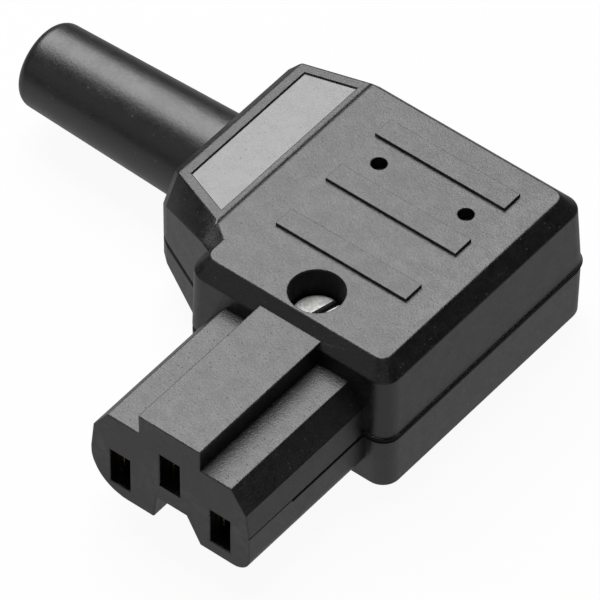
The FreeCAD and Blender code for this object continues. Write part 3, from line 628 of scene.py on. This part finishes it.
edge_weights, start, end, angle = new_edge_group("edge_weights")
place = add_node(edge_weights, "GeometryNodeInputPosition").outputs[0]
size = 1.0
for label, mask in edge_masks(edge_weights, place).items():
    size = plus(edge_weights, size, times(edge_weights, mask, EDGE_SHARES[label] - 1.0))
outward = above(edge_weights, angle.outputs["Signed Angle"], EDGE_LIMIT)
weight = times(edge_weights, outward, size)
store = add_node(
    edge_weights,
    "GeometryNodeStoreNamedAttribute",
    {"Geometry": start.outputs[0], "Name": EDGE_WEIGHT, "Value": weight},
    data_type="FLOAT",
    domain="EDGE",
)
gentle = unless(edge_weights, above(edge_weights, angle.outputs["Unsigned Angle"], EDGE_LIMIT))
smooth = either(edge_weights, gentle, above(edge_weights, weight, 0.0))
crisp = add_node(
    edge_weights,
    "GeometryNodeSetShadeSmooth",
    {"Geometry": store.outputs[0], "Shade Smooth": smooth},
    domain="EDGE",
)
edge_weights.links.new(crisp.outputs[0], end.inputs[0])
print("edge weight nodes:", len(edge_weights.nodes))

# %% Crisp corners
CRISP_LIMIT = math.radians(50.0)

crisp_corners, start, end, angle = new_edge_group("crisp_corners")
steep = above(crisp_corners, angle.outputs["Unsigned Angle"], CRISP_LIMIT)
crisp = add_node(
    crisp_corners,
    "GeometryNodeSetShadeSmooth",
    {"Geometry": start.outputs[0], "Selection": steep, "Shade Smooth": False},
    domain="EDGE",
)
crisp_corners.links.new(crisp.outputs[0], end.inputs[0])
print("crisp corner nodes:", len(crisp_corners.nodes))

# %% [markdown]
# The rounding itself is a chain of modifiers, so that a frame piece's own mesh stays as it is. Weld joins
# the loose triangles, a planar dissolve clears the flat faces, the bevel rounds by weight, and weighted
# normals keep the flat faces flat to the eye. A face with narrow bridges between its openings would fold
# over at the bevel, so such pieces are cut into triangles first.

# %% Soft edges on the halves
WELD_REACH = 0.002 * MM
PLAIN_CORNERS = 5
HOUSING_EDGE = 0.15 * MM


def soften(node, width, segments=3, flat_limit=0.5, split_holed=False):
    """Round the sharp edges of a frame piece. The limit, in degrees, says which neighbours count as one
    flat face, and split_holed cuts faces with many corners into triangles before the rounding."""
    weld = node.modifiers.new("weld", "WELD")
    weld.merge_threshold = WELD_REACH
    flat = node.modifiers.new("flat_faces", "DECIMATE")
    flat.decimate_type = "DISSOLVE"
    flat.angle_limit = math.radians(flat_limit)
    if split_holed:
        split = node.modifiers.new("plain_faces", "TRIANGULATE")
        split.min_vertices = PLAIN_CORNERS
    weights = node.modifiers.new("edge_weights", "NODES")
    weights.node_group = edge_weights
    bevel = node.modifiers.new("soft_edges", "BEVEL")
    bevel.width = width
    bevel.segments = segments
    bevel.limit_method = "WEIGHT"
    bevel.edge_weight = EDGE_WEIGHT
    bevel.use_clamp_overlap = False
    bevel.face_strength_mode = "FSTR_ALL"
    corners = node.modifiers.new("crisp_corners", "NODES")
    corners.node_group = crisp_corners
    even = node.modifiers.new("even_normals", "WEIGHTED_NORMAL")
    even.keep_sharp = True
    even.use_face_influence = True


for name in ("upper_housing", "lower_housing"):
    dress(nodes[name], housing_plastic)
soften(nodes["upper_housing"], HOUSING_EDGE)
soften(nodes["lower_housing"], HOUSING_EDGE, flat_limit=2.5, split_holed=True)
print("halves rounded by", round(HOUSING_EDGE / MM, 2), "mm")

# %% [markdown]
# The cord guard is a softer black sleeve. Its skin is satin, with less grain than the housing, so the soft
# box draws one long stripe along it.

# %% Cord guard
RUBBER_BLACK = (0.0060, 0.0060, 0.0063, 1.0)
RUBBER_GREY = (0.0120, 0.0120, 0.0124, 1.0)
RUBBER_DUST = 0.5
RUBBER_MATT = (0.34, 0.42)
GUARD_EDGE = 0.12 * MM

guard_rubber, tree, output = new_material("guard_rubber")
place = object_place(tree)
grain = place_group(tree, grain_group, {"Vector": place, "Fineness": 3000.0})
specks = place_group(tree, speck_group, {"Vector": place, "Spacing": 800.0, "Size": 0.09})
colour = blend_colours(tree, grain.outputs["Tone"], RUBBER_BLACK, RUBBER_GREY)
colour = blend_colours(tree, times(tree, specks.outputs["Dust"], RUBBER_DUST), colour, DUST_GREY)
matt_level = spread(tree, grain.outputs["Tone"], 0.0, 1.0, *RUBBER_MATT)
height = calculate(tree, "SUBTRACT", grain.outputs["Height"], specks.outputs["Pits"])
bump = add_node(tree, "ShaderNodeBump", {"Height": height, "Strength": 0.20, "Distance": GRAIN_DEPTH})
add_skin(
    tree,
    output,
    {"Base Color": colour, "Roughness": matt_level, "Normal": bump.outputs[0], "Specular IOR Level": 0.95},
)
dress(nodes["cord_guard"], guard_rubber)
soften(nodes["cord_guard"], GUARD_EDGE, split_holed=True)
print("guard rounded by", round(GUARD_EDGE / MM, 2), "mm, rubber nodes:", len(tree.nodes))

# %% [markdown]
# Metal parts share one recipe: a metallic skin whose tone drifts like tarnish and whose tiny ridges run one
# way. On rolled strip the ridges follow the strip, on turned screws they are rings, so the recipe takes a
# function that draws the ridges.

# %% Metal recipe
SLOT_PAINTED_SHADE = (0.10, 0.10, 0.097, 1.0)
RIDGE_DEPTH = 0.01 * MM
RIDGES_PER_METRE = 9000.0
RIDGE_DRIFT = 300.0


def strip_ridges(tree, place):
    """Rolling lines: noise drawn out along Y."""
    stretch = (RIDGES_PER_METRE, RIDGE_DRIFT, RIDGES_PER_METRE)
    drawn = add_node(tree, "ShaderNodeMapping", {"Vector": place, "Scale": stretch})
    return add_node(tree, "ShaderNodeTexNoise", {"Vector": drawn.outputs[0], "Scale": 1.0}).outputs[0]


def turned_ridges(tree, place):
    """Turning rings: noise along the distance from the screw's own axis, which the mesh carries, so the
    place isn't needed."""
    ring = add_node(tree, "ShaderNodeAttribute", attribute_name="ring")
    length = times(tree, ring.outputs["Fac"], RIDGES_PER_METRE)
    noise = add_node(tree, "ShaderNodeTexNoise", {"W": length, "Scale": 1.0}, noise_dimensions="1D")
    return noise.outputs[0]


def metal_finish(name, bright, dull, matt_span, ridges, metallic=1.0):
    """A metallic material; ridges(tree, place) gives the socket whose value draws the fine ridges. Where
    the mesh carries a slot value, as screw heads do, the metal darkens towards the floor of the slot, a
    painted shade."""
    material, tree, output = new_material(name)
    place = object_place(tree)
    grain = place_group(tree, grain_group, {"Vector": place, "Fineness": 2600.0})
    lines = ridges(tree, place)
    colour = blend_colours(tree, grain.outputs["Tone"], bright, dull)
    slot = add_node(tree, "ShaderNodeAttribute", attribute_name="slot")
    # painted shade: the floor of a screw slot is coloured dark
    colour = blend_colours(tree, slot.outputs["Fac"], colour, SLOT_PAINTED_SHADE)
    matt_level = spread(tree, grain.outputs["Tone"], 0.0, 1.0, *matt_span)
    bump = add_node(tree, "ShaderNodeBump", {"Height": lines, "Strength": 0.15, "Distance": RIDGE_DEPTH})
    add_skin(
        tree,
        output,
        {"Base Color": colour, "Roughness": matt_level, "Normal": bump.outputs[0], "Metallic": metallic},
    )
    return material


# %% Metal finishes
ZINC_BRIGHT = (0.90, 0.90, 0.89, 1.0)
ZINC_DULL = (0.66, 0.66, 0.65, 1.0)
BRASS_BRIGHT = (0.62, 0.45, 0.20, 1.0)
BRASS_DULL = (0.42, 0.28, 0.12, 1.0)
SPRING_BRIGHT = (0.50, 0.50, 0.51, 1.0)
SPRING_DULL = (0.30, 0.30, 0.31, 1.0)

turned_zinc = metal_finish("turned_zinc", ZINC_BRIGHT, ZINC_DULL, (0.60, 0.72), turned_ridges, metallic=0.8)
rolled_zinc = metal_finish("rolled_zinc", ZINC_BRIGHT, ZINC_DULL, (0.28, 0.40), strip_ridges)
rolled_brass = metal_finish("rolled_brass", BRASS_BRIGHT, BRASS_DULL, (0.24, 0.38), strip_ridges)
rolled_spring = metal_finish("rolled_spring", SPRING_BRIGHT, SPRING_DULL, (0.26, 0.36), strip_ridges)
print("metals:", [metal.name for metal in (turned_zinc, rolled_zinc, rolled_brass, rolled_spring)])

# %% [markdown]
# The contacts, their springs, the wire plates, the nut and the washer keep the frame's shape, which is
# already right. They get a small soft edge and their metal. The cord clamp is a moulded strap in the
# housing's plastic.

# %% Inner pieces
POLES = ("line", "neutral", "earth")
INNER_SEGMENTS = 2
POLE_PIECES = (
    ("_contact", rolled_brass, 0.06 * MM),
    ("_contact_spring", rolled_spring, 0.05 * MM),
    ("_clamp_plate", rolled_zinc, 0.10 * MM),
)
inner_pieces = [(pole + ending, finish, edge) for pole in POLES for ending, finish, edge in POLE_PIECES]
inner_pieces.append(("housing_nut", rolled_zinc, 0.12 * MM))
inner_pieces.append(("housing_lock_washer", rolled_spring, 0.08 * MM))
inner_pieces.append(("cord_clamp", housing_plastic, 0.15 * MM))
for name, finish, edge in inner_pieces:
    dress(nodes[name], finish)
    soften(nodes[name], edge, segments=INNER_SEGMENTS)
print("inner pieces dressed:", len(inner_pieces))

# %% [markdown]
# A screw is two surfaces. The head is a stack of upright slices across its width, so that the walls of the
# slot fall exactly between two slices. The shank is a grid of turn and height whose radius rises and falls
# with the helix of a right-hand thread. Cutting a cylinder with booleans would be shorter but leaves ragged
# faces; with arrays every edge is where it should be.

# %% Screw head
HEAD_SLICES = 20
HEAD_POINTS = 28
HEAD_RIM = 0.35 * MM
SLOT_CLEARANCE = 1.2


def head_grid(radius, height, slot_half, slot_depth):
    """Slices at constant x. Each slice is a loop: along the flat underside, then back over the top, whose
    height is the head's height less a quarter-round at the rim, or the slot's floor between its walls."""
    outside = -radius * np.cos(np.linspace(0.0, math.pi, HEAD_SLICES))
    outside = outside[np.abs(outside) > slot_half * SLOT_CLEARANCE]
    left = outside[outside < 0]
    right = outside[outside > 0]
    inner = np.array([-slot_half, -slot_half, -slot_half / 3, slot_half / 3, slot_half, slot_half])
    cut = np.array([False, True, True, True, True, False])
    x = np.concatenate([left, inner, right])
    in_slot = np.concatenate([np.zeros(left.size, bool), cut, np.zeros(right.size, bool)])
    chord = np.sqrt(np.maximum(radius**2 - x**2, 0.0))
    sweep = np.sin(np.linspace(-math.pi / 2, math.pi / 2, HEAD_POINTS))
    y = chord[:, None] * sweep[None, :]
    reach = np.sqrt(x[:, None] ** 2 + y**2)
    past = np.clip((reach - (radius - HEAD_RIM)) / HEAD_RIM, 0.0, 1.0)
    top = height - HEAD_RIM * (1.0 - np.sqrt(1.0 - past**2))
    top = np.where(in_slot[:, None], np.minimum(top, height - slot_depth), top)
    wide = np.broadcast_to(x[:, None], y.shape)
    under = np.stack([wide, y, np.zeros_like(y)], axis=-1)
    over = np.stack([wide, y, top], axis=-1)[:, ::-1]
    return np.concatenate([under, over], axis=1)


# %% Screw shank
SHANK_SIDES = 40
STEPS_PER_TURN = 10
THREAD_DEPTH = 0.6
CREST_FLATNESS = 0.9
RUN_OUT_TURNS = 1.5
RUN_OUT_LEAST = 0.25
POINT_SHARE = 0.72
POINT_TURNS = 2.0


def shank_grid(radius, length, pitch):
    """Rings from the head down. The radius is the core plus the thread's rise, a flattened wave of height
    over pitch less turn, which fades out under the head and towards the narrowed end. The depth of the
    thread is a share of its pitch."""
    rows = int(length / pitch * STEPS_PER_TURN) + 1
    z = -np.linspace(0.0, length, rows)
    turn = np.linspace(0.0, 2 * math.pi, SHANK_SIDES, endpoint=False)
    phase = z[:, None] / pitch - turn[None, :] / (2 * math.pi)
    wave = np.clip(0.5 + CREST_FLATNESS * np.cos(2 * math.pi * phase), 0.0, 1.0)
    run_out = np.clip((length + z) / (RUN_OUT_TURNS * pitch), RUN_OUT_LEAST, 1.0)
    fade = np.clip(-z / pitch, 0.0, 1.0) * run_out
    core = radius - THREAD_DEPTH * pitch
    r = core + THREAD_DEPTH * pitch * wave * fade[:, None]
    r = r * np.clip(POINT_SHARE + (length + z) / (POINT_TURNS * pitch), 0.0, 1.0)[:, None]
    rings = np.stack([r * np.cos(turn), r * np.sin(turn), np.broadcast_to(z[:, None], r.shape)], axis=-1)
    top = np.zeros((1, SHANK_SIDES, 3))
    tip = np.zeros((1, SHANK_SIDES, 3))
    tip[..., 2] = -length
    return np.concatenate([top, rings, tip], axis=0)


# %% Screw mesh
MERGE_REACH = 0.001 * MM
SHARP_ANGLE = math.radians(35.0)
RING_RISE = 0.5
FLOOR_BAND = 0.05 * MM
FLOOR_SHARE = 0.51


def quads(grid):
    """Corner numbers of the faces of a grid that is closed along its columns."""
    rows, columns = grid.shape[:2]
    row, column = np.meshgrid(np.arange(rows - 1), np.arange(columns), indexing="ij")
    beside = (column + 1) % columns
    faces = np.stack([row, row, row + 1, row + 1], axis=-1) * columns
    faces += np.stack([column, beside, beside, column], axis=-1)
    return faces.reshape(-1, 4)


def closed_mesh(name, points, faces):
    """A mesh from grid points and faces, with doubles merged, empty faces cleared and faces turned out."""
    mesh = bpy.data.meshes.new(name)
    mesh.from_pydata(points.tolist(), [], faces.tolist())
    shell = bmesh.new()
    shell.from_mesh(mesh)
    bmesh.ops.remove_doubles(shell, verts=shell.verts, dist=MERGE_REACH)
    bmesh.ops.dissolve_degenerate(shell, edges=shell.edges, dist=MERGE_REACH)
    bmesh.ops.recalc_face_normals(shell, faces=shell.faces)
    shell.to_mesh(mesh)
    shell.free()
    mesh.shade_smooth()
    mesh.set_sharp_from_angle(angle=SHARP_ANGLE)
    return mesh


def write_values(mesh, name, values):
    """Store one number per point, for the materials to read."""
    mesh.attributes.new(name, "FLOAT", "POINT").data.foreach_set("value", values)


# %% Screws
HOUSING_SCREW = {
    "head_height": 2.0 * MM,
    "shank_radius": 1.5 * MM,
    "slot_width": 0.9 * MM,
    "slot_depth": 0.9 * MM,
    "pitch": 0.5 * MM,
}
TERMINAL_SCREW = {**HOUSING_SCREW, "head_height": 1.8 * MM, "slot_width": 0.8 * MM}
CLAMP_SCREW = {**TERMINAL_SCREW, "head_height": 1.6 * MM, "shank_radius": 1.25 * MM, "pitch": 0.45 * MM}
SLOT_TURN = math.radians(-14.0)


def make_screw(node_name, body, head_height, shank_radius, slot_width, slot_depth, pitch, turn=0.0):
    """Build a slotted screw, turned about its axis, in the space of a frame screw, and let it stand for it.
    Its points carry two values: ring, the distance from the axis plus a share of the height, and slot, 1 on
    the slot's floor."""
    low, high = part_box(node_name)
    axis = (low + high) / 2
    seat = high.z - head_height
    origin = np.array([axis.x, axis.y, seat])
    head = head_grid((high.x - low.x) / 2, head_height, slot_width / 2, slot_depth)
    shank = shank_grid(shank_radius, seat - low.z, pitch)
    points = np.concatenate([head.reshape(-1, 3), shank.reshape(-1, 3)])
    faces = np.concatenate([quads(head), quads(shank)[:, ::-1] + head.shape[0] * head.shape[1]])
    along = np.array([math.cos(turn), math.sin(turn), 0.0])
    across = np.array([-math.sin(turn), math.cos(turn), 0.0])
    points = points @ np.stack([along, across, (0.0, 0.0, 1.0)]) + origin
    mesh = closed_mesh(node_name + "_cut", points, faces)
    places = np.empty(len(mesh.vertices) * 3)
    mesh.vertices.foreach_get("co", places)
    places = places.reshape(-1, 3) - origin
    write_values(mesh, "ring", np.hypot(places[:, 0], places[:, 1]) + RING_RISE * places[:, 2])
    floor = np.abs(places[:, 2] - head_height + slot_depth) < FLOOR_BAND
    floor &= np.abs(places @ along) < FLOOR_SHARE * slot_width
    write_values(mesh, "slot", floor.astype(float))
    screw = bpy.data.objects.new(node_name + "_cut", mesh)
    scene.collection.objects.link(screw)
    dress(screw, turned_zinc)
    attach(screw, body)
    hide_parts(node_name)
    print(screw.name, "faces:", len(mesh.polygons))


make_screw("housing_screw", "screw_turn", **HOUSING_SCREW, turn=SLOT_TURN)
for pole in POLES:
    make_screw(pole + "_terminal_screw", "housing", **TERMINAL_SCREW)
for place_name in ("front", "rear"):
    make_screw(place_name + "_clamp_screw", "housing", **CLAMP_SCREW)
